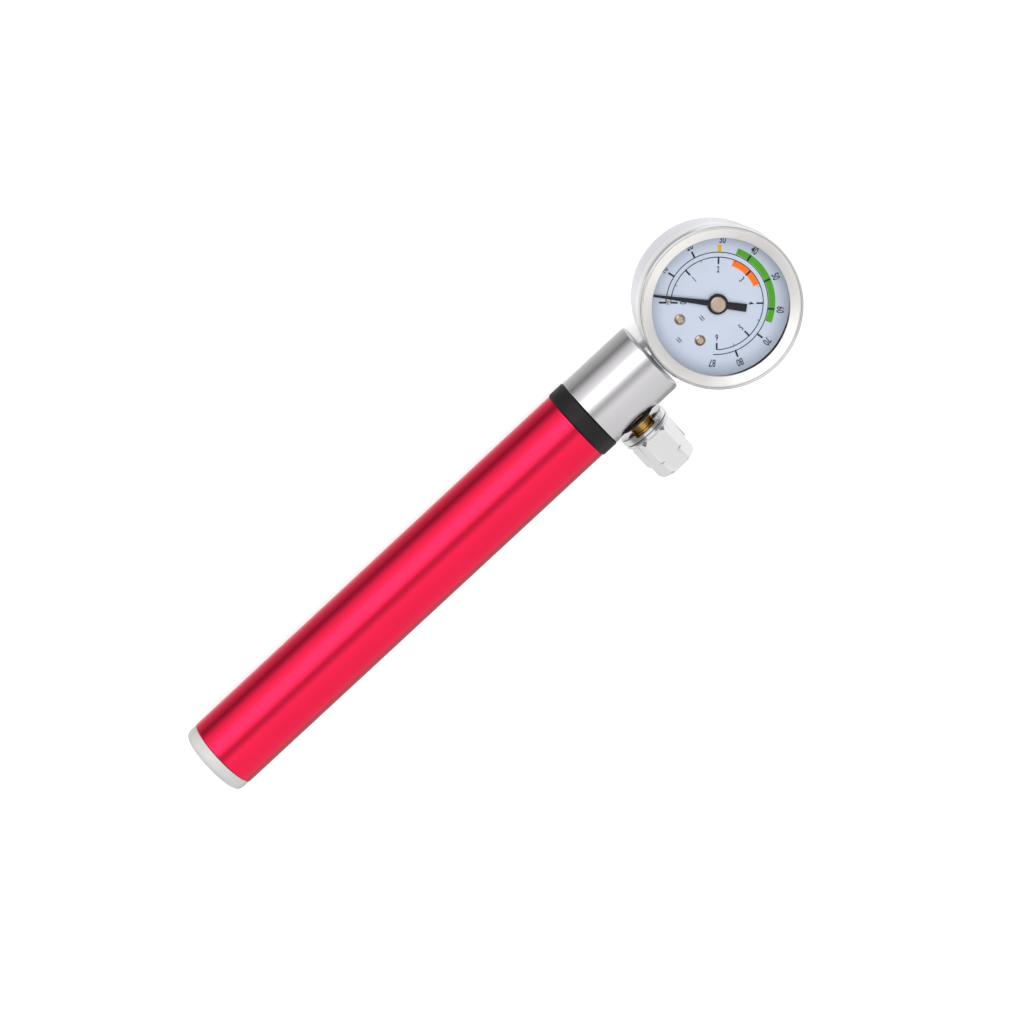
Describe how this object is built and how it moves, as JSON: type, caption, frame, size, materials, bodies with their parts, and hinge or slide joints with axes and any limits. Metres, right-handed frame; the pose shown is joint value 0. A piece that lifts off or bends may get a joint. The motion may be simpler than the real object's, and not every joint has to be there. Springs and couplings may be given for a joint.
{
  "type": "ball inflation pump",
  "caption": "Slim hand pump with a round sliding barrel, a cylindrical metal head, a round dial pressure gauge on its end and a screw-on valve chuck on its side.",
  "frame": {"origin": "middle of the bounding box's base, under the lying pump", "axes": "+X along the barrel towards the gauge, +Z the way the dial faces, the chuck points along -Y"},
  "size_m": [0.2036, 0.048, 0.0262],
  "materials": {
    "anodised_red": "anodised crimson, satin sheen, drawn along the tube",
    "head_aluminium": "turned and polished aluminium",
    "steel": "ground or stamped steel",
    "bright_steel": "polished stainless sheet",
    "chrome": "bright nickel-chrome plating",
    "brass": "machined brass",
    "pale_brass": "pale nickel-washed brass",
    "white_plastic": "off-white pearl moulding",
    "black_plastic": "satin black moulding",
    "rubber": "black nitrile",
    "dial_paint": "pale blue-white dial with black, green, orange and yellow scale marks",
    "pointer_paint": "black enamel",
    "window": "clear polished"
  },
  "bodies": {
    "head": {"piston_rod": "steel", "piston": "black_plastic", "piston_ring": "rubber", "piston_nose": "brass", "check_spring": "steel", "rod_bumper": "rubber", "rod_seal": "rubber", "head_body": "head_aluminium", "gauge_seal": "rubber", "chuck_nipple": "brass", "nipple_seal": "rubber", "valve_pin": "brass", "gauge_case": "bright_steel", "window_gasket": "rubber", "gauge_window": "window", "gauge_bezel": "chrome", "dial_plate": "dial_paint", "dial_screw_1": "pale_brass", "dial_screw_2": "pale_brass", "stop_pin": "pale_brass", "gauge_socket": "steel", "case_screw_1": "steel", "case_screw_2": "steel", "movement_back_plate": "brass", "movement_front_plate": "brass", "movement_post_1": "brass", "movement_post_2": "brass", "movement_post_3": "brass", "movement_screw_1": "steel", "movement_screw_2": "steel", "bourdon_tube": "brass", "bourdon_tip": "brass", "hairspring": "pale_brass"},
    "guide": {"guide_bush": "white_plastic"},
    "handle": {"handle_tube": "anodised_red", "end_cap": "white_plastic", "cap_seal": "rubber", "end_collar": "black_plastic", "bush_clip": "steel", "wiper_seal": "rubber"},
    "valve_ball": {"check_ball": "steel"},
    "chuck": {"chuck_collar": "chrome", "chuck_nut": "chrome", "valve_gasket": "rubber"},
    "sector": {"sector_gear": "brass", "sector_arbor": "steel"},
    "link_bar": {"link": "brass"},
    "needle": {"pinion": "brass", "pointer": "pointer_paint", "pointer_boss": "pale_brass"}
  },
  "joints": [
    {"name": "pump_stroke", "type": "slide", "parent": "head", "child": "guide", "axis": [-1, 0, 0], "range_m": [0, 0.0915]},
    {"name": "handle_spin", "type": "hinge", "parent": "guide", "child": "handle", "pos_m": [0, 0.00235, 0.01075], "axis": [1, 0, 0], "continuous": true},
    {"name": "chuck_swivel", "type": "hinge", "parent": "head", "child": "chuck", "pos_m": [0.04395, -0.01765, 0.01075], "axis": [0, -1, 0], "continuous": true},
    {"name": "sector_turn", "type": "hinge", "parent": "head", "child": "sector", "pos_m": [0.07682, -0.00576, 0.01275], "axis": [0, 0, 1], "range_deg": [0, 43.7], "stiffness_Nm_per_rad": 0.002},
    {"name": "needle_turn", "type": "hinge", "parent": "head", "child": "needle", "pos_m": [0.0801, 0.00235, 0.01875], "axis": [0, 0, 1], "range_deg": [-262.5, 0]},
    {"name": "link_turn", "type": "hinge", "parent": "sector", "child": "link_bar", "pos_m": [0.07416, -0.00861, 0.01375], "axis": [0, 0, 1], "range_deg": [-44.5, 0]},
    {"name": "check_valve_lift", "type": "slide", "parent": "head", "child": "valve_ball", "axis": [1, 0, 0], "range_m": [0, 0.0007], "stiffness_N_per_m": 20, "springref_m": -0.0002, "deforming": ["check_spring"]}
  ],
  "couplings": [
    {"joint": "needle_turn", "follows": "sector_turn", "ratio": -6},
    {"joint": "link_turn", "follows": "sector_turn", "ratio": -1}
  ]
}
